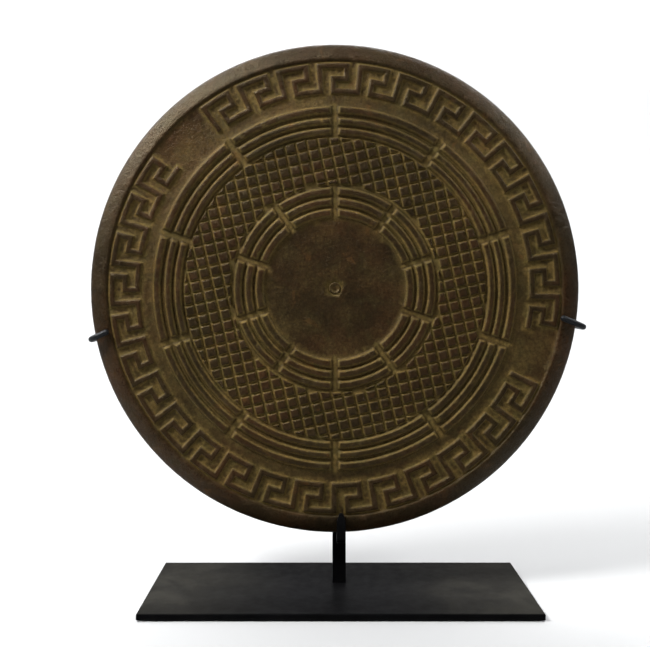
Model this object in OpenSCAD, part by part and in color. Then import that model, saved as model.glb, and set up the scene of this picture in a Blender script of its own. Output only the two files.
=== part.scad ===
// A round cast-iron manhole cover standing upright in a clawed steel display stand.
// +Z is up, the cover's face looks along -Y, and z = 0 is the surface that the stand rests on.
// Heights on the cover, named ..._h, are measured from its seating face towards its front.

/* [Cover] */
// Outer diameter of the cover
cover_d = 508; // [480:1:540]
// Height of the cover's centre above the table
cover_z = 320.5; // [300:0.5:360]
// Height of the sunk field that the relief stands on
field_h = 14; // [12:0.5:16]
// Thickness of the web under the field
web_t = 10; // [8:0.5:11]
// Height of the straight part of the outer edge
edge_h = 8; // [6:0.5:10]
// How far the rounded rim stands above the field
rim_rise = 2; // [1:0.5:3]
// Depth of the skirt and the back ribs below the seating face
skirt_depth = 9; // [6:0.5:10]

/* [Face pattern] */
// How far the ring ribs stand above the field
rib_rise = 3.2; // [2:0.1:4]
// How far the studs stand above the field
stud_rise = 2.7; // [2:0.1:3.5]
// Spacing of the stud lattice
stud_pitch = 11.6; // [11:0.05:14]
// Turn of the stud lattice from upright
stud_turn = 13.3; // [0:0.1:45]
// Width of the lattice grooves at their floor
groove_w = 2.2; // [2:0.1:3]
// Number of segments in each ring of ribs
segments = 10; // [8:1:12]
// Width of the gaps in the outer ribs
outer_gap = 6.2; // [4:0.1:8]
// Width of the gaps in the inner ribs
inner_gap = 5.2; // [4:0.1:7]
// Height of the key border above the field
key_rise = 2.6; // [2:0.1:3]

/* [Stand] */
// Width of the base plate
base_w = 394; // [360:1:430]
// Depth of the base plate
base_d = 152.4; // [140:0.1:170]
// Thickness of the base plate
base_t = 6; // [5:0.5:8]
// Side of the square post
post_w = 14; // [13:0.5:16]
// How far the post stands to the right of the cover's centre
post_shift = 5; // [-8:0.5:8]
// Height at which the side arms leave the post, above the cover's centre
arm_rise = 63; // [50:1:80]
// Diameter of the side arms' rod
rod_d = 5; // [4:0.5:6]
// Drop of the left claw below the cover's centre
left_drop = 53; // [30:1:70]
// Drop of the right claw below the cover's centre
right_drop = 40; // [30:1:70]
// Gap between the left claw and the cover's edge
left_gap = 0.4; // [0.3:0.1:5]
// Gap between the right claw and the cover's edge
right_gap = 3.2; // [0.3:0.1:5]

/* [Hidden] */
$fn = 96;

cover_r = cover_d / 2;
crest_r = cover_r - 16;        // top of the rounded rim
shoulder_r = cover_r - 19;     // where the rim rises from the field
crest_h = field_h + rim_rise;
web_h = field_h - web_t;       // back face of the web
skirt_r = cover_r - 24;        // outside of the skirt that drops into a street frame
skirt_w = 8;
boss_r = 24;
back_rib_w = 8;
back_ribs = 6;

inner_ribs = [[72.8, 82.8], [84.3, 93.8], [95.5, 105]];
outer_ribs = [[157.4, 166.3], [167.9, 176.6], [179, 188.7]];
rib_flank = 1.5;
stud_field = [107.5, 155.6];   // inner and outer radius of the studded ring
groove_flank = 0.6;
groove_floor = 0.3;            // groove floor above the field

key_r = [200.5, 233];          // inner and outer radius of the key border
key_rows = 5;
key_columns = 6;
key_arcs = [[-37, 139, 13], [115, 193, 18]];   // start, span, repeats; degrees clockwise from the top

seat_y = -1;                   // where the seating face stands behind the face
felt_t = 1.5;
base_chamfer = 0.8;
plate_top = felt_t + base_t;
post_y = 10 + post_w / 2;

sleeve_wall = 0.5;
slip = 0.05;                   // clearance of a sleeve on its rod
rod_r = rod_d / 2;
sleeve_r = rod_r + slip + sleeve_wall;
bend_r = 8;
claw_front_y = seat_y - crest_h - 0.5 - sleeve_r;
claw_depth = post_y - claw_front_y;
claw_tip_r = 235.5;            // distance of the claws' tips from the cover's axis

left_x = sqrt(pow(cover_r + left_gap + sleeve_r, 2) - left_drop * left_drop);
right_x = sqrt(pow(cover_r + right_gap + sleeve_r, 2) - right_drop * right_drop);
cover_x = (left_x - right_x) / 2;      // keeps the whole piece centred between its outermost claws
post_x = cover_x + post_shift;
left_slope = atan((arm_rise + left_drop) / (left_x + post_shift));
right_slope = atan((arm_rise + right_drop) / (right_x - post_shift));
left_length = (left_x + post_shift) / cos(left_slope);     // along the arm, from the post's axis
right_length = (right_x - post_shift) / cos(right_slope);

arm_z = cover_z + arm_rise;
post_top = arm_z + 12;
tube_w = 12;
tube_length = 130;
bore_start = 45;               // where the tubes' bores begin, from the post's axis
rod_start = 50;
bore_r = rod_r + 0.08;
screw_at = 118;

plug_r = 6.2;
liner_t = 1.5;
rest_gap = 0.3;
hook_w = 9;
hook_t = 6;
hook_x = post_x + 1.5;
hook_top = cover_z - cover_r - rest_gap - liner_t;   // top of the flat leg under the cover
hook_y = seat_y - crest_h - 0.5 - liner_t;           // back face of the hook's upright
hook_tip_z = cover_z - cover_r + 23;
pad_gap = 0.3;
back_y = seat_y + skirt_depth;                       // back of the cover's ribs

// Places what is modelled face-up, with its axis on Z, at the cover's place in the stand.
module on_cover() {
  translate([cover_x, seat_y, cover_z]) rotate([90, 0, 0]) children();
}

// Half section of the plain casting: web, boss, skirt, seating flange and rounded rim.
module casting_section() {
  polygon(concat(
    [[0, -skirt_depth], [boss_r, -skirt_depth], [boss_r + 2, web_h],
     [skirt_r - skirt_w - 1.5, web_h], [skirt_r - skirt_w, -skirt_depth], [skirt_r - 1, -skirt_depth],
     [skirt_r, -skirt_depth + 1], [skirt_r, 0], [cover_r, 0]],
    [for (a = [0:10:90])
      [crest_r + (cover_r - crest_r) * cos(a), edge_h + (crest_h - edge_h) * sin(a)]],
    [for (t = [0.2:0.2:1])
      [crest_r - (crest_r - shoulder_r) * t, field_h + rim_rise * (1 + cos(180 * t)) / 2]],
    [[stud_field[1], field_h], [stud_field[1] - 0.7, field_h + stud_rise],
     [stud_field[0] + 0.7, field_h + stud_rise], [stud_field[0], field_h], [0, field_h]]));
}

// One straight lattice groove along X with sloping sides.
module groove(length) {
  top = groove_w / 2 + groove_flank + 0.2;
  rotate([90, 0, 90])
    linear_extrude(length, center = true)
      polygon([[-groove_w / 2, field_h + groove_floor], [groove_w / 2, field_h + groove_floor],
               [top, field_h + stud_rise + 0.8], [-top, field_h + stud_rise + 0.8]]);
}

// Both sets of grooves that cut the raised ring into studs, one of which would be at the centre.
module stud_grooves() {
  reach = stud_field[1] + 1;
  lines = floor(stud_field[1] / stud_pitch - 0.5);
  for (turn = [0, 90])
    rotate(stud_turn + turn)
      for (i = [-lines - 1:lines]) {
        off = (i + 0.5) * stud_pitch;
        translate([0, off, 0]) groove(2 * sqrt(reach * reach - off * off));
      }
}

// A ring of concentric ribs, cut into segments by straight gaps.
module rib_ring(ribs, gap) {
  low = field_h - 0.5;
  high = field_h + rib_rise;
  difference() {
    rotate_extrude()
      for (rib = ribs)
        polygon([[rib[0], low], [rib[0] + rib_flank, high], [rib[1] - rib_flank, high], [rib[1], low]]);
    for (i = [0:segments - 1])
      rotate(90 - i * 360 / segments)
        translate([ribs[0][0] - 5, -gap / 2, low - 1])
          cube([ribs[2][1] - ribs[0][0] + 10, gap, rib_rise + 3]);
  }
}

// Outline of one repeat of the key border, in columns across and rows outward. It runs a little
// into the next repeat, so that the two fuse.
KEY = [[0, 0], [1, 0], [1, 4], [4, 4], [4, 3], [2, 3], [2, 0], [6.04, 0],
       [6.04, 1], [3, 1], [3, 2], [5, 2], [5, 5], [0, 5]];

// Points along an outline at every whole column, so that its long sides follow the circle.
function stepped(line) = [for (i = [0:len(line) - 1])
  let (a = line[i], b = line[(i + 1) % len(line)], n = max(1, abs(b[0] - a[0])))
    for (k = [0:n - 1]) a + (b - a) * k / n];

function bent(p, start, column) =
  let (r = key_r[0] + (key_r[1] - key_r[0]) * p[1] / key_rows, a = 90 - start - p[0] * column)
    [r * cos(a), r * sin(a)];

// The raised key border, in arcs that leave plain stretches between them.
module key_border() {
  translate([0, 0, field_h - 0.5])
    linear_extrude(key_rise + 0.5)
      for (arc = key_arcs) {
        column = arc[1] / (arc[2] * key_columns);
        for (i = [0:arc[2] - 1])
          polygon([for (p = stepped(KEY)) bent(p, arc[0] + i * key_columns * column, column)]);
      }
}

module back_rib() {
  translate([boss_r - 1, -back_rib_w / 2, -skirt_depth])
    cube([skirt_r - skirt_w - boss_r + 2, back_rib_w, skirt_depth + web_h + 1]);
}

module cover_casting() {
  color("#4a4030")
    on_cover()
      difference() {
        union() {
          difference() {
            rotate_extrude() casting_section();
            stud_grooves();
          }
          rib_ring(inner_ribs, inner_gap);
          rib_ring(outer_ribs, outer_gap);
          key_border();
          for (i = [0:back_ribs - 1]) rotate(90 + i * 360 / back_ribs) back_rib();
        }
        translate([0, 0, -skirt_depth - 1]) cylinder(r = plug_r + 0.08, h = field_h + skirt_depth + 2);
      }
}

// Round plug riveted into the hole at the centre, nearly flush with the face.
module centre_plug() {
  color("#54483a")
    on_cover()
      difference() {
        union() {
          translate([0, 0, -skirt_depth - 1.5]) cylinder(r = plug_r, h = field_h + skirt_depth + 1.9);
          translate([0, 0, -skirt_depth - 1.5]) cylinder(r = plug_r + 2.3, h = 1.45);
        }
        translate([0, 0, field_h - 0.4]) difference() {
          cylinder(r = 4.6, h = 2);
          cylinder(r = 3.4, h = 2);
        }
      }
}

// A slab with its upper edges chamfered, lying on z = 0 and centred in plan.
module chamfered_slab(w, d, t, c) {
  intersection() {
    rotate([90, 0, 0])
      linear_extrude(d, center = true)
        polygon([[-w / 2, 0], [w / 2, 0], [w / 2, t - c], [w / 2 - c, t], [c - w / 2, t], [-w / 2, t - c]]);
    rotate([90, 0, 90])
      linear_extrude(w, center = true)
        polygon([[-d / 2, 0], [d / 2, 0], [d / 2, t - c], [d / 2 - c, t], [c - d / 2, t], [-d / 2, t - c]]);
  }
}

// Calls its child once for each of the two screws that hold the post.
module at_post_screws() {
  for (side = [-1, 1]) translate([post_x, post_y + side * 3.5, felt_t]) children();
}

module base_plate() {
  color("#17181a")
    difference() {
      translate([post_x, 0, felt_t]) chamfered_slab(base_w, base_d, base_t, base_chamfer);
      at_post_screws() {
        translate([0, 0, -1]) cylinder(r = 2.1, h = base_t + 2);
        translate([0, 0, -0.01]) cylinder(r1 = 3.35, r2 = 2.1, h = 1.8);
      }
    }
}

module base_felt() {
  color("#23241f")
    translate([post_x, 0, felt_t / 2]) cube([base_w - 8, base_d - 8, felt_t - 0.02], center = true);
}

module post() {
  color("#121314")
    difference() {
      translate([post_x - post_w / 2, post_y - post_w / 2, plate_top])
        cube([post_w, post_w, post_top - plate_top]);
      at_post_screws() translate([0, 0, base_t - 1]) cylinder(r = 2.08, h = 17);
      translate([hook_x, post_y + post_w / 2 + 0.01, hook_top - hook_t / 2]) rotate([90, 0, 0]) {
        cylinder(r = 1.6, h = post_w + 1);
        cylinder(r1 = 2.7, r2 = 1.6, h = 1.6);
      }
    }
}

module post_screws() {
  color("#6e7276")
    at_post_screws()
      difference() {
        union() {
          translate([0, 0, 0.05]) cylinder(r = 2, h = base_t + 12);
          translate([0, 0, 0.05]) cylinder(r1 = 3.2, r2 = 2, h = 1.7);
        }
        cylinder(r = 1.3, h = 1.4, $fn = 6);
      }
}

// Flat bar that carries the cover and hooks up in front of its edge.
module bottom_claw() {
  color("#0e0f10")
    difference() {
      intersection() {
        translate([hook_x - hook_w / 2, 0, 0])
          rotate([90, 0, 90])
            linear_extrude(hook_w)
              union() {
                translate([hook_y, hook_top - hook_t]) square([post_y - post_w / 2 - hook_y, hook_t]);
                translate([hook_y - hook_t, hook_top]) square([hook_t, hook_tip_z - hook_top]);
                intersection() {
                  translate([hook_y, hook_top]) circle(hook_t);
                  translate([hook_y - hook_t, hook_top - hook_t]) square(hook_t);
                }
              }
        translate([hook_x, 100, 0])
          rotate([90, 0, 0])
            linear_extrude(200)
              union() {
                translate([-hook_w / 2, 0]) square([hook_w, hook_tip_z - 8]);
                polygon([[-hook_w / 2, hook_tip_z - 8], [hook_w / 2, hook_tip_z - 8],
                         [2.8, hook_tip_z - 2.8], [-2.8, hook_tip_z - 2.8]]);
                translate([0, hook_tip_z - 2.8]) circle(2.8);
              }
      }
      translate([hook_x, post_y, hook_top - hook_t / 2])
        rotate([90, 0, 0]) cylinder(r = 1.58, h = post_w / 2 + 11);
    }
}

// Countersunk screw from the back of the post into the bar of the bottom claw.
module claw_screw() {
  color("#6e7276")
    translate([hook_x, post_y + post_w / 2 - 0.05, hook_top - hook_t / 2])
      rotate([90, 0, 0])
        difference() {
          union() {
            cylinder(r = 1.5, h = post_w + 9);
            cylinder(r1 = 2.6, r2 = 1.5, h = 1.5);
          }
          translate([0, 0, -1]) cylinder(r = 1.1, h = 2.2, $fn = 6);
        }
}

// Soft lining between the hook and the cover.
module bottom_liner() {
  color("#1b1b19")
    translate([hook_x - hook_w / 2 + 0.5, 0, 0])
      rotate([90, 0, 90])
        linear_extrude(hook_w - 1)
          polygon([[hook_y + 0.02, hook_top + 0.02], [6, hook_top + 0.02], [6, hook_top + liner_t],
                   [hook_y + liner_t, hook_top + liner_t], [hook_y + liner_t, hook_tip_z - 7],
                   [hook_y + 0.02, hook_tip_z - 7]]);
}

// Places what is modelled along +X from the post's axis on the left or the right arm.
module on_left_arm() {
  translate([post_x, post_y, arm_z]) mirror([1, 0, 0]) rotate([0, left_slope, 0]) children();
}

module on_right_arm() {
  translate([post_x, post_y, arm_z]) rotate([0, right_slope, 0]) children();
}

// Square tube, bored for the arm's rod and for its set screw.
module arm_tube() {
  difference() {
    translate([0, -tube_w / 2, -tube_w / 2]) cube([tube_length, tube_w, tube_w]);
    translate([bore_start, 0, 0]) rotate([0, 90, 0]) cylinder(r = bore_r, h = tube_length);
    translate([screw_at, 0, 0]) rotate([-90, 0, 0]) cylinder(r = 2.5, h = tube_w);
  }
}

// The post's outline, slightly enlarged, that mitres the tubes to its sides.
module post_cut() {
  translate([post_x - post_w / 2 - 0.02, post_y - post_w, arm_z - 40])
    cube([post_w + 0.04, 2 * post_w, 80]);
}

module left_tube() {
  color("#131415")
    difference() {
      on_left_arm() arm_tube();
      post_cut();
    }
}

module right_tube() {
  color("#131415")
    difference() {
      on_right_arm() arm_tube();
      post_cut();
    }
}

module set_screw() {
  translate([screw_at, rod_r + 0.1, 0])
    rotate([-90, 0, 0])
      difference() {
        cylinder(r = 2.44, h = 5);
        translate([0, 0, 2.5]) cylinder(r = 1.4, h = 3, $fn = 6);
      }
}

module set_screws() {
  color("#3c3e40") {
    on_left_arm() set_screw();
    on_right_arm() set_screw();
  }
}

// Felt pads on the post and the tubes, where the cover's back ribs bear.
module back_pads() {
  front = back_y + pad_gap;
  tube_pad = post_y - tube_w / 2 - front - 0.02;
  post_pad = post_y - post_w / 2 - front - 0.02;
  color("#20211d") {
    on_left_arm() translate([60, front - post_y, -5]) cube([50, tube_pad, 10]);
    on_right_arm() translate([60, front - post_y, -5]) cube([50, tube_pad, 10]);
    translate([post_x - 6, front, cover_z - 150]) cube([12, post_pad, 60]);
  }
}

// A quarter turn of rod in the XY plane, from +X round to +Y.
module elbow(r) {
  rotate_extrude(angle = 90) translate([bend_r, 0]) circle(r);
}

// The front of an arm: along -Y past the edge, then back over the rim for the given length.
module claw_end(r, from_y, length) {
  translate([0, -from_y, 0])
    rotate([90, 0, 0]) cylinder(r = r, h = claw_depth - bend_r - from_y);
  translate([-bend_r, bend_r - claw_depth, 0]) rotate(-90) elbow(r);
  translate([-bend_r, -claw_depth, 0]) rotate([0, -90, 0]) cylinder(r = r, h = length - bend_r);
}

module arm_rod(length, reach) {
  translate([rod_start, 0, 0])
    rotate([0, 90, 0]) cylinder(r = rod_r, h = length - rod_start - bend_r);
  translate([length, 0, 0]) {
    translate([-bend_r, -bend_r, 0]) elbow(rod_r);
    claw_end(rod_r, bend_r, reach);
  }
}

module arm_sleeve(length, reach) {
  translate([length, 0, 0])
    difference() {
      union() {
        claw_end(sleeve_r, bend_r + 1, reach);
        translate([-reach, -claw_depth, 0]) sphere(sleeve_r);
      }
      claw_end(rod_r + slip, bend_r + 0.5, reach + slip);
    }
}

// How far a claw runs inward over the rim, from its rod's outer leg.
function reach(x, slope) = (x - sqrt(claw_tip_r * claw_tip_r - 40 * 40)) / cos(slope) - sleeve_r;

module left_arm() {
  color("#121314") on_left_arm() arm_rod(left_length, reach(left_x, left_slope));
}

module right_arm() {
  color("#121314") on_right_arm() arm_rod(right_length, reach(right_x, right_slope));
}

module left_sleeve() {
  color("#1e2224") on_left_arm() arm_sleeve(left_length, reach(left_x, left_slope));
}

module right_sleeve() {
  color("#1e2224") on_right_arm() arm_sleeve(right_length, reach(right_x, right_slope));
}

cover_casting();
centre_plug();
base_plate();
base_felt();
post();
post_screws();
bottom_claw();
claw_screw();
bottom_liner();
left_tube();
right_tube();
set_screws();
back_pads();
left_arm();
right_arm();
left_sleeve();
right_sleeve();
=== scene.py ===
"""Looks of the manhole cover on its display stand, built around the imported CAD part."""

import math
import random

import bmesh
import bpy
import numpy as np
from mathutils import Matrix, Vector, noise
from mathutils.geometry import delaunay_2d_cdt


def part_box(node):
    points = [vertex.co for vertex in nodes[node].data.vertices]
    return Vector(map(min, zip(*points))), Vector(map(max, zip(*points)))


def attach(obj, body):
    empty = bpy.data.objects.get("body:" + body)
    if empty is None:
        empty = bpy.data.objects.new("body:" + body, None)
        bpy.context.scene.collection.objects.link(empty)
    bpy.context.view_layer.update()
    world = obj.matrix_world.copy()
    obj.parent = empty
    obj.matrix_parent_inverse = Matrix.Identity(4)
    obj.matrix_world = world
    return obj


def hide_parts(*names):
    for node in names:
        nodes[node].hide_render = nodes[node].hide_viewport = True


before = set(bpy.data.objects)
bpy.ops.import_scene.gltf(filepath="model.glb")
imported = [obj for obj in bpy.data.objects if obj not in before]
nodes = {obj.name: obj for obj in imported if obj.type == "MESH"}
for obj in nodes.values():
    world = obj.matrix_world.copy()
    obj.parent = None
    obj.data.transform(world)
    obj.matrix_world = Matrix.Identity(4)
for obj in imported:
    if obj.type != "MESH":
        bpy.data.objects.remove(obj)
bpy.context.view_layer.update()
MM = 0.001
random.seed(7)

# ------------------------------------------------------------------ places from the CAD, and sizes in mm
# Heights on the cover are measured from its seat, towards the front.
lo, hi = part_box("cover_casting")
COVER_X, COVER_Z = (lo[0] + hi[0]) / 2 / MM, (lo[2] + hi[2]) / 2 / MM
COVER_R = (hi[0] - lo[0]) / 2 / MM
SKIRT = 9.0
PLATEAU = -SKIRT
SEAT_Y = hi[1] / MM - SKIRT
FIELD = 14.0
WEB = 4.0
SHOULDER_R = COVER_R - 19.4
SKIRT_R = COVER_R - 24
CIRCLE = 360
HOLE_R = 6.3
HOLE_STEPS = 48
PLUG_STEPS = 64

# The front: a plain middle, ribs, studs, ribs, and a key border between the ribs and the rim
MIDDLE_R = 72
INNER_RIBS = [(72.8, 82.8), (84.3, 93.8), (95.5, 105.0)]
OUTER_RIBS = [(157.4, 166.3), (167.9, 176.6), (179.0, 188.7)]
INNER_GAP, OUTER_GAP = 5.2, 6.2
INNER_SLOT, OUTER_SLOT = (73.0, 105.0), (157.0, 189.0)
SLOTS, SLOT_STEP = 10, 36
STUDS = (107.5, 155.6)
PITCH, TURN, GROOVE = 11.6, math.radians(13.3), 1.9
SHORTEST_SIDE, THINNEST_STUD = 1.3, 1.55
BORDER_R = 189
KEY_R = (200.5, 233.0)
KEY_ARCS = [(-37, 139, 13), (115, 193, 18)]  # start in degrees, extent in degrees, repeats

# The back: six pockets between webs
POCKETS, POCKET_STEP = 6, 60
POCKET_R = (25.0, SKIRT_R - 8.5)
WEB_WIDTH = 8.6


# ------------------------------------------------------------------ outlines on the cover's face, in mm
def polar(r, clockwise):
    """A point at radius r, at an angle in radians clockwise from the top."""
    return (r * math.sin(clockwise), r * math.cos(clockwise))


def segment(r0, r1, a0, a1, gap, d, corner, n, inner_corner=None):
    """A ring segment between two straight slots, shrunk by d, its corners rounded; n steps along each arc."""
    r0, r1, half = r0 + d, r1 - d, gap / 2 + d
    c1 = max(0.15, min(corner, (r1 - r0) * 0.45))
    c0 = c1 if inner_corner is None else inner_corner
    pts = []

    def at(r, e, start):
        w = math.asin(min(1, (half + e) / r))
        return polar(r, a0 + w if start else a1 - w)

    def bend(r, c, q, sign, start):
        return at(r - sign * (c - c * math.sin(q)), c - c * math.cos(q), start)

    def arc(r, c, forward):
        w0, w1 = a0 + math.asin((half + c) / r), a1 - math.asin((half + c) / r)
        if not forward:
            w0, w1 = w1, w0
        return [polar(r, w0 + (w1 - w0) * i / n) for i in range(1, n)]

    quarter = [i * math.pi / 6 for i in range(4)]
    pts += [bend(r1, c1, q, 1, True) for q in quarter]
    pts += arc(r1, c1, True)
    pts += [bend(r1, c1, q, 1, False) for q in reversed(quarter)]
    pts += [bend(r0, c0, q, -1, False) for q in quarter]
    pts += arc(r0, c0, False)
    pts += [bend(r0, c0, q, -1, True) for q in reversed(quarter)]
    return np.array(pts)


def clip(poly, normal, limit):
    """The part of a convex outline where point . normal <= limit."""
    out = []
    for i, p in enumerate(poly):
        q = poly[(i + 1) % len(poly)]
        a, b = p @ normal - limit, q @ normal - limit
        if a <= 0:
            out.append(p)
        if a * b < 0:
            out.append(p + (q - p) * a / (a - b))
    return out


def shrunk(poly, d, corner):
    """A convex counter-clockwise outline moved inward by d, each corner rounded with four points."""
    n = len(poly)
    lines = []
    for i in range(n):
        t = poly[(i + 1) % n] - poly[i]
        t = t / np.linalg.norm(t)
        inward = np.array([-t[1], t[0]])
        lines.append((poly[i] + inward * d, t))
    corners = []
    for i in range(n):
        (p, t), (q, u) = lines[i - 1], lines[i]
        k = np.linalg.solve(np.array([t, -u]).T, q - p)
        corners.append(p + t * k[0])
    pts = []
    for i in range(n):
        before, here, after = corners[i - 1], corners[i], corners[(i + 1) % n]
        c = min(corner, 0.42 * np.linalg.norm(before - here), 0.42 * np.linalg.norm(after - here))
        a = here + (before - here) / np.linalg.norm(before - here) * c
        b = here + (after - here) / np.linalg.norm(after - here) * c
        for t in (0, 1 / 3, 2 / 3, 1):
            pts.append((1 - t) ** 2 * a + 2 * t * (1 - t) * here + t * t * b)
    return np.array(pts)


def stud_outlines():
    """Convex base outlines of all studs in the ring."""
    found = []
    half = (PITCH - GROOVE) / 2
    reach = int(STUDS[1] / PITCH) + 2
    ct, st = math.cos(TURN), math.sin(TURN)
    for i in range(-reach, reach + 1):
        for j in range(-reach, reach + 1):
            u, v = i * PITCH, j * PITCH
            corners = ((-1, -1), (1, -1), (1, 1), (-1, 1))
            square = [np.array([u + a * half, v + b * half]) for a, b in corners]
            square = [np.array([p[0] * ct - p[1] * st, p[0] * st + p[1] * ct]) for p in square]
            mid = sum(square) / 4
            r = np.linalg.norm(mid)
            if r > STUDS[1] + 8 or r < STUDS[0] - 8:
                continue
            out = mid / r
            poly = clip(square, out, STUDS[1])
            poly = clip(poly, -out, -STUDS[0]) if poly else poly
            if len(poly) < 3:
                continue
            stud = []
            for p in poly:
                if not stud or np.linalg.norm(p - stud[-1]) > SHORTEST_SIDE:
                    stud.append(p)
            if len(stud) > 3 and np.linalg.norm(stud[0] - stud[-1]) <= SHORTEST_SIDE:
                stud.pop()
            if len(stud) < 3:
                continue
            sides = list(zip(stud, stud[1:] + stud[:1]))
            area = 0.5 * sum(p[0] * q[1] - q[0] * p[1] for p, q in sides)
            length = sum(np.linalg.norm(p - q) for p, q in sides)
            if 2 * area / length < THINNEST_STUD:
                continue
            found.append(stud)
    return found


def key_outline(start, span, repeats, d):
    """The outline of one arc of the key border, shrunk by d.

    The path runs through a grid of five rows and six columns for each repeat, one stroke to a cell.
    """
    cell = (KEY_R[1] - KEY_R[0]) / 5
    column = math.radians(span) / (repeats * 6)
    path = []
    for k in range(repeats):
        path += [(6 * k + 0.5, 0.5), (6 * k + 0.5, 4.5), (6 * k + 4.5, 4.5), (6 * k + 4.5, 2.5),
                 (6 * k + 2.5, 2.5), (6 * k + 2.5, 0.5)]
    path.append((6 * repeats - 0.02, 0.5))
    path[0] = (0.5, 0.0)
    path = [np.array(p) for p in path]

    def outline(h):
        side = {1: [], -1: []}
        for i, p in enumerate(path):
            t0 = path[i] - path[i - 1] if i else path[1] - path[0]
            t1 = path[i + 1] - path[i] if i + 1 < len(path) else path[-1] - path[-2]
            t0, t1 = t0 / np.abs(t0).sum(), t1 / np.abs(t1).sum()
            n0, n1 = np.array([-t0[1], t0[0]]), np.array([-t1[1], t1[0]])
            end = -t0 * (0.5 - h) if i + 1 == len(path) else (t0 * (0.5 - h) if i == 0 else 0)
            off = n0 * h if (i == 0 or i + 1 == len(path)) else (n0 + n1) * h
            for s in (1, -1):
                side[s].append(p + s * off + end)
        return side[-1] + side[1][::-1]

    plain, ring = outline(0.5), outline(0.5 - d / cell)
    pts = []
    n = len(ring)
    for i in range(n):
        before, here, after = ring[i - 1], ring[i], ring[(i + 1) % n]
        a, b = before - here, after - here
        c = min(0.16, 0.85 * (0.5 - d / cell))
        a, b = here + a / np.linalg.norm(a) * c, here + b / np.linalg.norm(b) * c
        for t in (0, 0.5, 1):
            pts.append((1 - t) ** 2 * a + 2 * t * (1 - t) * here + t * t * b)
        steps = max(1, int(round(np.linalg.norm(plain[(i + 1) % n] - plain[i]))))
        far = after + (here - after) / np.linalg.norm(here - after) * c
        for k in range(1, steps):
            pts.append(b + (far - b) * k / steps)
    return np.array([polar(KEY_R[0] + cell * v, math.radians(start) + column * u) for u, v in pts])


# ------------------------------------------------------------------ the casting's mesh
def wobble(x, y, scale, seed):
    """Smooth noise between about -1 and 1, with waves of the given size in mm."""
    return noise.noise(Vector((x / scale, y / scale, seed)))


def field_height(x, y):
    """The sunk field: nearly flat, a little dished where it is open, uneven as sand casting leaves it."""
    r = math.hypot(x, y)
    h = FIELD + 0.16 * wobble(x, y, 34, 3.1) + 0.07 * wobble(x, y, 12, 8.4)
    if BORDER_R < r < SHOULDER_R:
        t = (r - BORDER_R) / (SHOULDER_R - BORDER_R)
        h += 0.55 * t ** 2 - 0.6 * math.sin(math.pi * t)
    if r < MIDDLE_R:
        h -= 0.5 * (1 - (r / MIDDLE_R) ** 2)
    return h


class Casting:
    """Gathers vertices and faces, with what each vertex needs for its colour."""

    def __init__(self):
        self.verts, self.faces, self.dust, self.wear = [], [], [], []

    def add(self, x, y, h, dust, wear):
        self.verts.append(((COVER_X + x) * MM, (SEAT_Y - h) * MM, (COVER_Z + y) * MM))
        self.dust.append(dust)
        self.wear.append(wear)
        return len(self.verts) - 1

    def band(self, rings):
        """Quads between rings of vertex numbers, each ring a closed loop of the same length."""
        for a, b in zip(rings, rings[1:]):
            n = len(a)
            for i in range(n):
                j = (i + 1) % n
                self.faces.append((a[i], a[j], b[j], b[i]))

    def fill(self, loops, extra, height, dust, wear, keep):
        """Triangles between loops of vertex numbers and extra points; keep(x, y) picks the triangles.

        height(x, y) and dust(x, y) give those of a new vertex.
        """
        pts, known, edges = [], [], []
        for loop in loops:
            first = len(pts)
            for v in loop:
                p = self.verts[v]
                pts.append((p[0] / MM - COVER_X, p[2] / MM - COVER_Z))
                known.append(v)
            n = len(loop)
            edges += [(first + i, first + (i + 1) % n) for i in range(n)]
        for p in extra:
            pts.append(p)
            known.append(None)
        out, _, tris, origin, _, _ = delaunay_2d_cdt([Vector(p) for p in pts], edges, [], 0, 1e-5)
        number = []
        for p, where in zip(out, origin):
            v = next((known[w] for w in where if known[w] is not None), None)
            if v is None:
                v = self.add(p[0], p[1], height(p[0], p[1]), dust(p[0], p[1]), wear)
            number.append(v)
        for t in tris:
            x = sum(out[k][0] for k in t) / 3
            y = sum(out[k][1] for k in t) / 3
            if keep(x, y):
                self.faces.append(tuple(number[k] for k in t))

    def lathe(self, profile, steps, first_ring=None, uneven=True):
        """A surface of revolution through (radius, height, dust, wear); the first ring can be given."""
        rings = []
        for k, (r, h, dust, wear) in enumerate(profile):
            if k == 0 and first_ring:
                rings.append(first_ring)
                continue
            ring = []
            for i in range(steps):
                x, y = polar(1, 2 * math.pi * i / steps)
                rr, hh = r, h
                if uneven:
                    far_x, far_y = x * 100, y * 100
                    rr -= 0.16 * abs(wobble(far_x, far_y, 22, k * 0.15))
                    rr -= 0.10 * abs(wobble(far_x, far_y, 5, k * 0.4))
                    hh += 0.10 * wobble(far_x, far_y, 16, 40 + k * 0.2)
                ring.append(self.add(x * rr, y * rr, hh, dust, wear))
            rings.append(ring)
        self.band(rings)
        return rings


# ------------------------------------------------------------------ the raised shapes of the front
# offset inward from the base outline, height over the base, dust, wear
# In the rib profile the dust column also paints light: it is lower on the valley floors between ribs, a painted
# shade, and highest on each rib's shoulders, a painted highlight.
RIB_WITH_PAINTED_LIGHT = [(-0.6, 0.0, 0.55, 0), (-0.1, 0.14, 0.5, 0), (0.45, 0.8, 0.5, 0), (1.05, 1.85, 0.85, 0.2),
       (1.75, 2.75, 0.85, 0.6), (2.6, 3.25, 0.38, 0.9), (3.6, 3.42, 0.14, 0.5)]
STUD = [(-0.3, 0.0, 1.0, 0), (0.02, 0.3, 1.0, 0), (0.35, 1.3, 0.85, 0.1), (0.8, 2.2, 0.4, 0.6),
        (1.4, 2.62, 0.08, 0.9), (2.1, 2.72, 0.02, 0.4)]
KEYS = [(-0.6, 0.0, 0.8, 0), (-0.1, 0.2, 0.85, 0), (0.35, 0.9, 0.75, 0.1), (0.85, 1.75, 0.48, 0.5),
        (1.5, 2.35, 0.2, 1.0), (2.3, 2.58, 0.08, 0.6)]
cast = Casting()
base_loops, caps = [], []


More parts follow.
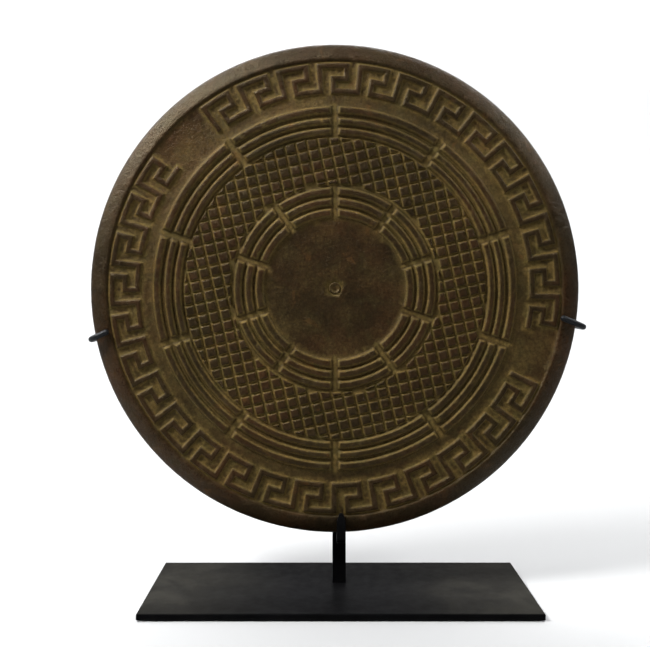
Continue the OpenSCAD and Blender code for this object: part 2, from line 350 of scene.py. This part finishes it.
def raise_feature(outline, profile, seed):
    """One raised shape: rings of vertices up its flanks. outline(d) gives its shape at each offset."""
    rings = []
    lift = 1 + 0.07 * noise.noise(Vector((seed * 1.7, 0.3, 5.5)))
    for d, h, dust, wear in profile:
        ring = []
        for x, y in outline(d):
            x += 0.10 * wobble(x, y, 7, 21.0)
            y += 0.10 * wobble(x, y, 7, 47.0)
            z = field_height(x, y) + h * lift + (0.07 * wobble(x, y, 9, 60.0) if h else 0)
            chip = max(0.0, wobble(x, y, 5.5, 90.0) - 0.42) * 1.6 if wear > 0.4 else 0.0
            ring.append(cast.add(x, y, z - chip, min(1, dust + chip), wear))
        rings.append(ring)
    cast.band(rings)
    base_loops.append(rings[0])
    return rings


def field_dust(x, y):
    """How much dust lies on the field: most between the ribs and in the slots, least in the middle."""
    r = math.hypot(x, y)
    if r < MIDDLE_R - 2:
        base = 0.20
    elif r < BORDER_R:
        base = 0.75
    else:
        base = 0.42 - 0.15 * max(0.0, (r - 200) / 34)
    from_slot = r * abs(math.remainder(math.atan2(x, y), math.radians(SLOT_STEP)))
    if from_slot < 1.0 and (70 < r < 107 or 156 < r < 190):
        return 1.0
    return base + 0.22 * wobble(x, y, 26, 11.0)


count = 0
for group, gap, corner in ((INNER_RIBS, INNER_GAP, 1.2), (OUTER_RIBS, OUTER_GAP, 1.3)):
    for r0, r1 in group:
        steps = max(10, int(r1 * math.radians(SLOT_STEP) / 3.6))
        for i in range(SLOTS):
            count += 1
            a0, a1 = math.radians(SLOT_STEP * i), math.radians(SLOT_STEP * (i + 1))
            rings = raise_feature(lambda d: segment(r0, r1, a0, a1, gap, d, corner, steps), RIB_WITH_PAINTED_LIGHT, count)
            top = rings[-1]
            # the flat top is a strip between its outer and its inner arc
            n = len(top) // 2
            for k in range(n - 1):
                cast.faces.append((top[k], top[k + 1], top[-2 - k], top[-1 - k]))
for poly in stud_outlines():
    count += 1
    rings = raise_feature(lambda d: shrunk(poly, d, 0.9 if d < 1 else 0.7), STUD, count)
    cast.faces.append(tuple(rings[-1]))
for start, span, repeats in KEY_ARCS:
    count += 1
    rings = raise_feature(lambda d: key_outline(start, span, repeats, d), KEYS, count)
    caps.append(rings[-1])


def inside(poly, x, y):
    """Whether a point is inside an outline: it counts the sides to the right of the point."""
    a, b = poly, np.roll(poly, -1, axis=0)
    cross = ((a[:, 1] > y) != (b[:, 1] > y))
    with np.errstate(divide="ignore", invalid="ignore"):
        t = (b[:, 0] - a[:, 0]) * (y - a[:, 1]) / (b[:, 1] - a[:, 1]) + a[:, 0]
    return bool(np.count_nonzero(cross & (x < t)) % 2)


def flat(loop):
    """A loop of vertex numbers as an outline on the cover's face."""
    return np.array([(cast.verts[v][0] / MM - COVER_X, cast.verts[v][2] / MM - COVER_Z) for v in loop])


for loop in caps:
    shape = flat(loop)
    cast.fill([loop], [], None, None, 0.5, lambda x, y: inside(shape, x, y))

# ------------------------------------------------------------------ the field between the raised shapes
field_polys = [flat(l) for l in base_loops]
boxes = np.array([[p[:, 0].min(), p[:, 1].min(), p[:, 0].max(), p[:, 1].max()] for p in field_polys])


def in_feature(x, y, margin=0.0):
    """Whether a point is in a raised shape, or within a margin of its outline."""
    near = np.nonzero((boxes[:, 0] - margin < x) & (boxes[:, 2] + margin > x)
                      & (boxes[:, 1] - margin < y) & (boxes[:, 3] + margin > y))[0]
    for k in near:
        if inside(field_polys[k], x, y):
            return True
        if margin and (np.hypot(field_polys[k][:, 0] - x, field_polys[k][:, 1] - y) < margin).any():
            return True
    return False


def hole_ring(height, dust):
    """A ring of vertices round the hole for the plug."""
    angles = [2 * math.pi * i / HOLE_STEPS for i in range(HOLE_STEPS)]
    return [cast.add(*polar(HOLE_R, a), height, dust, 0) for a in angles]


# the field's two outer loops and its own points: a jittered triangle grid, and a row along each slot
rim = [cast.add(*polar(SHOULDER_R, 2 * math.pi * i / CIRCLE), FIELD + 0.55, 0.4, 0) for i in range(CIRCLE)]
hole = hole_ring(FIELD - 0.5, 0.9)
extra = []
spacing = 5.2
for i in range(-46, 47):
    for j in range(-53, 54):
        x, y = (i + 0.5 * (j % 2)) * spacing, j * spacing * 0.866
        x += random.uniform(-0.9, 0.9)
        y += random.uniform(-0.9, 0.9)
        r = math.hypot(x, y)
        if HOLE_R + 2.5 < r < SHOULDER_R - 2 and not in_feature(x, y, 1.9):
            extra.append((x, y))
slot_spacing = 2.6
for i in range(SLOTS):
    for first, last in (INNER_SLOT, OUTER_SLOT):
        for k in range(int((last - first) / slot_spacing) + 1):
            extra.append(polar(first + slot_spacing * k, math.radians(SLOT_STEP * i)))
cast.fill([rim, hole] + base_loops, extra, field_height, field_dust, 0,
          lambda x, y: HOLE_R + 0.3 < math.hypot(x, y) < SHOULDER_R and not in_feature(x, y))


# ------------------------------------------------------------------ the edge and the back
# rim, edge, seat and skirt: radius, height, dust, wear
rim_profile = [(SHOULDER_R, FIELD + 0.55, 0.4, 0), (COVER_R - 18.9, FIELD + 1.15, 0.3, 0),
               (COVER_R - 18.2, FIELD + 1.85, 0.18, 0.4), (COVER_R - 17.3, FIELD + 2.28, 0.08, 0.9),
               (COVER_R - 16.4, FIELD + 2.34, 0.05, 1.0), (COVER_R - 15.0, FIELD + 2.05, 0.05, 1.0),
               (COVER_R - 12.6, FIELD + 1.32, 0.05, 0.6), (COVER_R - 9.4, FIELD + 0.0, 0.05, 0.4),
               (COVER_R - 6.2, FIELD - 1.5, 0.05, 0.4), (COVER_R - 3.7, FIELD - 2.95, 0.06, 0.4),
               (COVER_R - 1.9, FIELD - 4.1, 0.08, 0.6), (COVER_R - 0.7, FIELD - 5.2, 0.1, 0.7),
               (COVER_R + 0.12, FIELD - 6.9, 0.15, 0.6), (COVER_R + 0.12, 2.0, 0.2, 0.3),
               (COVER_R - 0.2, 0.8, 0.3, 0.5), (COVER_R - 1.0, 0.15, 0.35, 0.5),
               (COVER_R - 3, 0.0, 0.4, 0.2), (SKIRT_R + 2.2, 0.0, 0.6, 0),
               (SKIRT_R + 0.7, -0.4, 0.6, 0), (SKIRT_R, -1.6, 0.4, 0),
               (SKIRT_R - 0.1, PLATEAU + 1.6, 0.2, 0.3),
               (SKIRT_R - 0.5, PLATEAU + 0.5, 0.2, 0.8), (SKIRT_R - 1.6, PLATEAU, 0.2, 0.4)]
outer_back = cast.lathe(rim_profile, CIRCLE, rim)[-1]
hole_back = hole_ring(PLATEAU, 0.3)
cast.band([hole_back, hole_ring(3.0, 0.6), hole])

# offset inward from a pocket's outline, height, dust, wear
POCKET = [(-1.0, PLATEAU, 0.25, 0.4), (0.0, PLATEAU + 0.35, 0.2, 0.9), (0.5, PLATEAU + 1.3, 0.3, 0.4),
          (1.6, WEB - 2.6, 0.45, 0), (2.4, WEB - 0.8, 0.6, 0), (4.2, WEB, 0.5, 0)]


def pocket_height(x, y):
    return WEB + 0.45 * wobble(x, y, 40, 75.0) + 0.15 * wobble(x, y, 14, 77.0)


def pocket_dust(x, y):
    return 0.32 + 0.4 * wobble(x, y, 32, 83.0)


pocket_loops = []
for i in range(POCKETS):
    a0, a1 = math.radians(POCKET_STEP * i), math.radians(POCKET_STEP * (i + 1))
    loops = []
    for d, h, dust, wear in POCKET:
        ring = []
        for x, y in segment(*POCKET_R, a0, a1, WEB_WIDTH, d, 9 - d * 0.6, 40, 4.5 - 0.3 * d):
            ring.append(cast.add(x, y, h + 0.15 * wobble(x, y, 15, 70.0), dust, wear))
        loops.append(ring)
    cast.band(loops)
    pocket_loops.append(loops[0])
    shape = flat(loops[-1])
    inner = []
    for a in range(-24, 25):
        for b in range(-28, 29):
            x, y = (a + 0.5 * (b % 2)) * 9.5, b * 8.2
            if inside(shape, x, y) and (np.hypot(shape[:, 0] - x, shape[:, 1] - y) > 4).all():
                inner.append((x, y))
    cast.fill([loops[-1]], inner, pocket_height, pocket_dust, 0, lambda x, y: inside(shape, x, y))
plateau_holes = [flat(l) for l in pocket_loops]
plateau_edge = flat(outer_back)


def on_plateau(x, y):
    if math.hypot(x, y) <= HOLE_R + 0.3 or not inside(plateau_edge, x, y):
        return False
    return not any(inside(p, x, y) for p in plateau_holes)


cast.fill([outer_back, hole_back] + pocket_loops, [], None, None, 0.3, on_plateau)


# ------------------------------------------------------------------ the cast pieces as objects
def make_object(name, verts, faces):
    """A smooth-shaded mesh with its faces turned outward."""
    mesh = bpy.data.meshes.new(name)
    mesh.from_pydata(verts, [], faces)
    bm = bmesh.new()
    bm.from_mesh(mesh)
    bmesh.ops.recalc_face_normals(bm, faces=bm.faces)
    bm.to_mesh(mesh)
    bm.free()
    mesh.update()
    mesh.shade_smooth()
    obj = bpy.data.objects.new(name, mesh)
    bpy.context.scene.collection.objects.link(obj)
    return obj


def iron_object(name, node, casting):
    """A cast piece of the cover, in place of its CAD node."""
    obj = make_object(name, casting.verts, casting.faces)
    for key, values in (("dust", casting.dust), ("wear", casting.wear)):
        attribute = obj.data.attributes.new(key, "FLOAT", "POINT")
        attribute.data.foreach_set("value", values)
    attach(obj, "cover")
    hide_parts(node)
    return obj


cover = iron_object("cover_iron", "cover_casting", cast)

# The plug: a shank through the casting, with a ring on its front and a wider head at the back
plug_lo, plug_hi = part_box("centre_plug")
HEAD_R = (plug_hi[0] - plug_lo[0]) / 2 / MM
PLUG_R = HEAD_R - 2.3
PLUG_BACK, PLUG_TOP = SEAT_Y - plug_hi[1] / MM, SEAT_Y - plug_lo[1] / MM
plug_cast = Casting()
tip = plug_cast.add(0, 0, PLUG_TOP - 1.1, 0.25, 0)
tail = plug_cast.add(0, 0, PLUG_BACK, 0.2, 0)
plug_profile = [(1.6, PLUG_TOP - 1.1, 0.3, 0), (3.3, PLUG_TOP - 1.0, 0.5, 0), (3.9, PLUG_TOP - 0.55, 0.5, 0.3),
                (4.4, PLUG_TOP - 0.08, 0.35, 1.0), (4.9, PLUG_TOP, 0.3, 1.0), (5.4, PLUG_TOP - 0.12, 0.35, 0.8),
                (PLUG_R - 0.2, PLUG_TOP - 0.6, 0.5, 0.2), (PLUG_R, PLUG_TOP - 1.4, 0.8, 0),
                (PLUG_R, PLUG_BACK + 1.45, 0.5, 0), (HEAD_R - 0.2, PLUG_BACK + 1.42, 0.5, 0),
                (HEAD_R, PLUG_BACK + 1.1, 0.3, 0.5), (HEAD_R, PLUG_BACK + 0.4, 0.3, 0.6),
                (HEAD_R - 0.4, PLUG_BACK, 0.3, 0.4)]
plug_rings = plug_cast.lathe(plug_profile, PLUG_STEPS, uneven=False)
front_ring, back_ring = plug_rings[0], plug_rings[-1]
for i in range(PLUG_STEPS):
    j = (i + 1) % PLUG_STEPS
    plug_cast.faces.append((tip, front_ring[i], front_ring[j]))
    plug_cast.faces.append((tail, back_ring[j], back_ring[i]))
plug = iron_object("plug_iron", "centre_plug", plug_cast)


# ------------------------------------------------------------------ materials
def new_material(name):
    m = bpy.data.materials.new(name)
    m.use_nodes = True
    m.node_tree.nodes.clear()
    return m, m.node_tree


class Net:
    """Short ways to make and link shader nodes."""

    def __init__(self, name):
        self.mat, self.tree = new_material(name)
        self.out = self.tree.nodes.new("ShaderNodeOutputMaterial")
        self.shader = self.tree.nodes.new("ShaderNodeBsdfPrincipled")
        self.tree.links.new(self.shader.outputs[0], self.out.inputs["Surface"])
        self.coords = self.tree.nodes.new("ShaderNodeTexCoord").outputs["Object"]

    def link(self, value, socket):
        if isinstance(value, (int, float)):
            socket.default_value = value
        elif isinstance(value, (tuple, list)):
            socket.default_value = tuple(value) + (1.0,)
        else:
            self.tree.links.new(value, socket)

    def noise(self, scale, detail=4, rough=0.55, distort=0.0):
        n = self.tree.nodes.new("ShaderNodeTexNoise")
        n.inputs["Scale"].default_value = scale
        n.inputs["Detail"].default_value = detail
        n.inputs["Roughness"].default_value = rough
        n.inputs["Distortion"].default_value = distort
        self.link(self.coords, n.inputs["Vector"])
        return n.outputs["Fac"]

    def cells(self, scale):
        n = self.tree.nodes.new("ShaderNodeTexVoronoi")
        n.inputs["Scale"].default_value = scale
        self.link(self.coords, n.inputs["Vector"])
        return n.outputs["Distance"]

    def attribute(self, name):
        n = self.tree.nodes.new("ShaderNodeAttribute")
        n.attribute_name = name
        return n.outputs["Fac"]

    def math(self, op, a, b=0.0, clamp=False):
        n = self.tree.nodes.new("ShaderNodeMath")
        n.operation = op
        n.use_clamp = clamp
        self.link(a, n.inputs[0])
        self.link(b, n.inputs[1])
        return n.outputs[0]

    def ramp(self, value, low, high, out_low=0.0, out_high=1.0):
        n = self.tree.nodes.new("ShaderNodeMapRange")
        n.interpolation_type = "SMOOTHSTEP"
        self.link(value, n.inputs["Value"])
        n.inputs["From Min"].default_value = low
        n.inputs["From Max"].default_value = high
        n.inputs["To Min"].default_value = out_low
        n.inputs["To Max"].default_value = out_high
        return n.outputs["Result"]

    def mix(self, factor, a, b, blend="MIX"):
        n = self.tree.nodes.new("ShaderNodeMix")
        n.data_type = "RGBA"
        n.blend_type = blend
        self.link(factor, n.inputs["Factor"])
        self.link(a, n.inputs[6])
        self.link(b, n.inputs[7])
        return n.outputs[2]

    def grey(self, value):
        """A number as a colour."""
        n = self.tree.nodes.new("ShaderNodeCombineColor")
        for socket in n.inputs:
            self.tree.links.new(value, socket)
        return n.outputs[0]

    def normal_part(self, axis):
        """One coordinate of the surface's direction: 0, 1 or 2."""
        g = self.tree.nodes.new("ShaderNodeNewGeometry")
        s = self.tree.nodes.new("ShaderNodeSeparateXYZ")
        self.tree.links.new(g.outputs["Normal"], s.inputs[0])
        return s.outputs[axis]

    def place(self, axis):
        """One coordinate of the place on the object: 0, 1 or 2."""
        s = self.tree.nodes.new("ShaderNodeSeparateXYZ")
        self.tree.links.new(self.coords, s.inputs[0])
        return s.outputs[axis]

    def bump(self, height, strength, distance):
        n = self.tree.nodes.new("ShaderNodeBump")
        n.inputs["Strength"].default_value = strength
        n.inputs["Distance"].default_value = distance
        self.link(height, n.inputs["Height"])
        return n.outputs[0]

    def finish(self, color, rough, metallic, normal, specular, tint=(1, 1, 1)):
        self.link(color, self.shader.inputs["Base Color"])
        self.link(rough, self.shader.inputs["Roughness"])
        self.link(metallic, self.shader.inputs["Metallic"])
        self.shader.inputs["Specular IOR Level"].default_value = specular
        self.shader.inputs["Specular Tint"].default_value = tuple(tint) + (1.0,)
        self.link(normal, self.shader.inputs["Normal"])
        return self.mat


def cover_material():
    """Brown iron with rust, ochre dust where the mesh says so (on the ribs also painted shade in the valleys
    and a painted highlight on the shoulders), and bare metal where it is worn.
    """
    n = Net("old_cast_iron")
    # The dust attribute is ochre dust in the hollows; on the ribs it also holds painted shade on the valley
    # floors and a painted highlight on the shoulders.
    dust, wear = n.attribute("dust"), n.attribute("wear")
    broad = n.noise(9, 5, 0.6)
    patch = n.noise(34, 6, 0.62, 0.4)
    grain = n.noise(520, 6, 0.7)
    fine = n.noise(1700, 3, 0.6)
    dark = n.mix(n.ramp(patch, 0.35, 0.7), (0.0088, 0.0048, 0.0018), (0.0158, 0.0093, 0.0034))
    red = n.mix(n.ramp(broad, 0.44, 0.66), dark, (0.0215, 0.0086, 0.0033))
    olive = n.mix(n.ramp(n.noise(60, 5, 0.6), 0.5, 0.75, 0, 0.6), red, (0.0155, 0.0124, 0.0041))
    ochre = n.mix(n.ramp(n.noise(70, 5, 0.6), 0.35, 0.7), (0.092, 0.059, 0.0165), (0.072, 0.054, 0.0155))
    lumpy = n.math("ADD", dust, n.math("MULTIPLY", n.math("SUBTRACT", n.noise(240, 5, 0.65), 0.5), 0.6))
    mask = n.ramp(lumpy, 0.05, 1.15)
    color = n.mix(mask, olive, ochre)
    speck = n.ramp(n.noise(900, 2, 0.5), 0.70, 0.80, 0, 0.5)
    color = n.mix(speck, color, (0.10, 0.085, 0.055))
    mottle = n.ramp(n.noise(330, 6, 0.75), 0.30, 0.70, 0.55, 1.35)
    color = n.mix(1.0, color, n.grey(mottle), "MULTIPLY")
    bare = n.math("MULTIPLY", wear, n.ramp(n.noise(150, 4, 0.6), 0.45, 0.75, 0, 0.5))
    color = n.mix(bare, color, (0.054, 0.034, 0.019))
    rust = n.math("MULTIPLY", n.ramp(n.noise(48, 6, 0.7, 0.6), 0.57, 0.72), n.ramp(patch, 0.4, 0.7, 0.1, 0.6))
    color = n.mix(rust, color, (0.085, 0.036, 0.010))
    smudge = n.ramp(n.noise(15, 5, 0.6, 0.5), 0.35, 0.70, 0.72, 1.14)
    color = n.mix(1.0, color, n.grey(smudge), "MULTIPLY")
    rough = n.math("SUBTRACT", n.ramp(grain, 0.3, 0.7, 0.29, 0.47), n.math("MULTIPLY", wear, 0.08))
    rough = n.math("ADD", rough, n.math("MULTIPLY", mask, 0.25), clamp=True)
    pits = n.ramp(n.cells(330), 0.0, 0.30)
    height = n.math("ADD", n.math("MULTIPLY", grain, 0.8), n.math("MULTIPLY", pits, 0.35))
    height = n.math("ADD", height, n.math("MULTIPLY", fine, 0.25))
    height = n.math("ADD", height, n.math("MULTIPLY", n.noise(150, 5, 0.6), 1.6))
    normal = n.bump(height, 0.75, 0.0009)
    return n.finish(color, rough, 0.0, normal, 0.16, (1.0, 0.80, 0.46))


def paint_material():
    """Satin black, with dust and a painted reflection on faces that look up, growing towards either end of the
    plate.
    """
    n = Net("satin_black_paint")
    up = n.ramp(n.normal_part(2), 0.6, 0.95)
    smear = n.ramp(n.noise(14, 6, 0.65, 0.8), 0.38, 0.75)
    # Painted reflection: the dust-grey on up-facing faces grows towards either end of the plate, so the top is
    # lighter there and stays dark in the middle by the post.
    painted_reflection_to_ends = n.ramp(n.math("ABSOLUTE", n.place(0)), 0.03, 0.19, 0.0, 1.0)
    dust = n.math("MULTIPLY", n.math("MULTIPLY", up, painted_reflection_to_ends), n.ramp(smear, 0, 1, 0.45, 0.9))
    tone = n.ramp(n.noise(40, 4, 0.6), 0.3, 0.7)
    base = n.mix(tone, (0.0018, 0.0018, 0.0020), (0.0030, 0.0030, 0.0032))
    color = n.mix(dust, base, (0.0210, 0.0202, 0.0172))
    rough = n.ramp(n.noise(90, 5, 0.6), 0.3, 0.7, 0.40, 0.52)
    rough = n.math("ADD", rough, n.math("MULTIPLY", dust, 0.3), clamp=True)
    height = n.math("ADD", n.noise(850, 3, 0.5), n.math("MULTIPLY", n.noise(120, 3, 0.5), 0.8))
    return n.finish(color, rough, 0.0, n.bump(height, 0.2, 0.0002), 0.008)


def simple_material(name, colors, scale, rough, metallic, bump, specular=0.5):
    """Two colours and two roughnesses in soft patches, with a bump of (scale, strength, distance)."""
    n = Net(name)
    color = n.mix(n.ramp(n.noise(scale, 5, 0.6), 0.3, 0.7), *colors)
    patches = n.ramp(n.noise(scale * 2.3, 4, 0.6), 0.3, 0.7, *rough)
    bump_scale, strength, distance = bump
    normal = n.bump(n.noise(bump_scale, 4, 0.65), strength, distance)
    return n.finish(color, patches, metallic, normal, specular)


iron = cover_material()
paint = paint_material()
steel = simple_material(
    "zinc_steel", [(0.30, 0.31, 0.32), (0.45, 0.46, 0.47)], 300, (0.30, 0.48), 1.0, (1500, 0.2, 0.0001))
oxide = simple_material(
    "black_oxide", [(0.018, 0.018, 0.02), (0.035, 0.034, 0.034)], 300, (0.35, 0.5), 0.4, (1500, 0.2, 0.0001))
felt = simple_material(
    "dark_felt", [(0.006, 0.0062, 0.0055), (0.014, 0.0145, 0.0125)], 700, (0.9, 1.0), 0.0,
    (2600, 0.8, 0.0005))
rubber = simple_material(
    "black_rubber", [(0.012, 0.012, 0.012), (0.024, 0.024, 0.023)], 200, (0.6, 0.75), 0.0,
    (1400, 0.3, 0.0002))
sleeve = simple_material(
    "shrink_sleeve", [(0.0030, 0.0034, 0.0040), (0.0060, 0.0068, 0.0076)], 160, (0.38, 0.52), 0.0,
    (700, 0.35, 0.0003), 0.12)


def dress(obj, material):
    obj.data.materials.clear()
    obj.data.materials.append(material)


dress(cover, iron)
dress(plug, iron)


def soft_steel(node, name, width):
    """A copy of a painted CAD node of the stand with its edges rounded by width in mm."""
    mesh = nodes[node].data.copy()
    mesh.name = name
    bm = bmesh.new()
    bm.from_mesh(mesh)
    bmesh.ops.remove_doubles(bm, verts=bm.verts, dist=1e-6)
    bmesh.ops.dissolve_limit(bm, angle_limit=math.radians(1.0), verts=bm.verts, edges=bm.edges)
    bm.to_mesh(mesh)
    bm.free()
    if "custom_normal" in mesh.attributes:
        mesh.attributes.remove(mesh.attributes["custom_normal"])
    mesh.shade_smooth()
    obj = bpy.data.objects.new(name, mesh)
    bpy.context.scene.collection.objects.link(obj)
    bevel = obj.modifiers.new("edges", "BEVEL")
    bevel.width = width * MM
    bevel.segments = 3
    bevel.limit_method = "ANGLE"
    bevel.angle_limit = math.radians(30)
    bevel.harden_normals = True
    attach(obj, "stand")
    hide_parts(node)
    dress(obj, paint)


soft_steel("base_plate", "plate_shape", 0.35)
soft_steel("post", "post_shape", 0.5)
soft_steel("bottom_claw", "bottom_claw_shape", 0.7)
soft_steel("left_tube", "left_tube_shape", 0.5)
soft_steel("right_tube", "right_tube_shape", 0.5)
CARRIED_OVER = {"base_felt": felt, "post_screws": steel, "claw_screw": steel, "bottom_liner": rubber,
                "set_screws": oxide, "back_pads": felt, "left_arm": paint, "right_arm": paint,
                "left_sleeve": sleeve, "right_sleeve": sleeve}
for node, material in CARRIED_OVER.items():
    dress(nodes[node], material)


# ------------------------------------------------------------------ stage, light, camera, in metres
def stage_material():
    mat, tree = new_material("studio_white")
    out = tree.nodes.new("ShaderNodeOutputMaterial")
    shader = tree.nodes.new("ShaderNodeBsdfPrincipled")
    shader.inputs["Base Color"].default_value = (0.34, 0.343, 0.347, 1)
    shader.inputs["Roughness"].default_value = 0.8
    tree.links.new(shader.outputs[0], out.inputs["Surface"])
    return mat


FLOOR_FRONT, FLOOR_BACK = -6.0, 0.8
BEND_R, WALL_TOP, HALF_WIDTH = 0.9, 6.0, 7.0
sweep_line = [(FLOOR_FRONT, 0.0), (FLOOR_BACK, 0.0)]
for k in range(1, 16):
    a = math.radians(k * 6)
    sweep_line.append((FLOOR_BACK + BEND_R * math.sin(a), BEND_R - BEND_R * math.cos(a)))
sweep_line.append((FLOOR_BACK + BEND_R, WALL_TOP))
sweep_points, sweep_faces = [], []
for y, z in sweep_line:
    sweep_points += [(-HALF_WIDTH, y, z), (HALF_WIDTH, y, z)]
for i in range(len(sweep_line) - 1):
    sweep_faces.append((2 * i, 2 * i + 1, 2 * i + 3, 2 * i + 2))
sweep = make_object("studio_sweep", sweep_points, sweep_faces)
dress(sweep, stage_material())

# a white world, strongest near the horizon
world = bpy.data.worlds.new("studio")
bpy.context.scene.world = world
world.use_nodes = True
background = world.node_tree.nodes["Background"]
background.inputs[0].default_value = (1.0, 1.0, 1.0, 1)
sky_place = world.node_tree.nodes.new("ShaderNodeTexCoord")
sky_parts = world.node_tree.nodes.new("ShaderNodeSeparateXYZ")
sky_ramp = world.node_tree.nodes.new("ShaderNodeMapRange")
world.node_tree.links.new(sky_place.outputs["Generated"], sky_parts.inputs[0])
world.node_tree.links.new(sky_parts.outputs[2], sky_ramp.inputs["Value"])
for socket, value in (("From Min", 0.08), ("From Max", 0.40), ("To Min", 0.24), ("To Max", 0.04)):
    sky_ramp.inputs[socket].default_value = value
world.node_tree.links.new(sky_ramp.outputs["Result"], background.inputs[1])


def area_light(name, place, target, width, height, power, spread=180):
    data = bpy.data.lights.new(name, "AREA")
    data.shape = "RECTANGLE"
    data.size, data.size_y = width, height
    data.energy = power
    data.spread = math.radians(spread)
    obj = bpy.data.objects.new(name, data)
    obj.location = place
    obj.rotation_mode = "QUATERNION"
    obj.rotation_quaternion = (Vector(target) - Vector(place)).to_track_quat("-Z", "Y")
    bpy.context.scene.collection.objects.link(obj)


COVER_MIDDLE = (0, 0, 0.3)
area_light("key_above", (-1.02, -0.62, 1.45), COVER_MIDDLE, 0.5, 0.35, 70)
area_light("second", (0.95, -0.45, 1.15), COVER_MIDDLE, 0.3, 0.3, 9)
area_light("top", (0.1, -0.25, 2.0), COVER_MIDDLE, 0.6, 0.4, 6)
area_light("backdrop", (0, 0.95, 2.0), (0, 1.5, 0.2), 7.5, 0.5, 215)
area_light("front_floor", (0, -4.2, 2.2), (0, -4.2, 0), 10, 2.6, 260, 90)

# a level camera a little left of the cover's middle, with its lens shifted down to take in the plate
CAMERA_LEFT = 11.478 * MM
CAMERA_BACK, CAMERA_HEIGHT = 0.88433, 0.321128
cam_data = bpy.data.cameras.new("photo_camera")
cam = bpy.data.objects.new("photo_camera", cam_data)
bpy.context.scene.collection.objects.link(cam)
cam.location = (COVER_X * MM - CAMERA_LEFT, -CAMERA_BACK, CAMERA_HEIGHT)
cam.rotation_euler = (math.pi / 2, 0, 0)
cam_data.sensor_width = 36
cam_data.lens = 46.5826
cam_data.shift_x, cam_data.shift_y = 0.0020, -0.05516
cam_data.clip_start, cam_data.clip_end = 0.01, 50
bpy.context.scene.camera = cam
bpy.context.scene.view_settings.view_transform = "Standard"
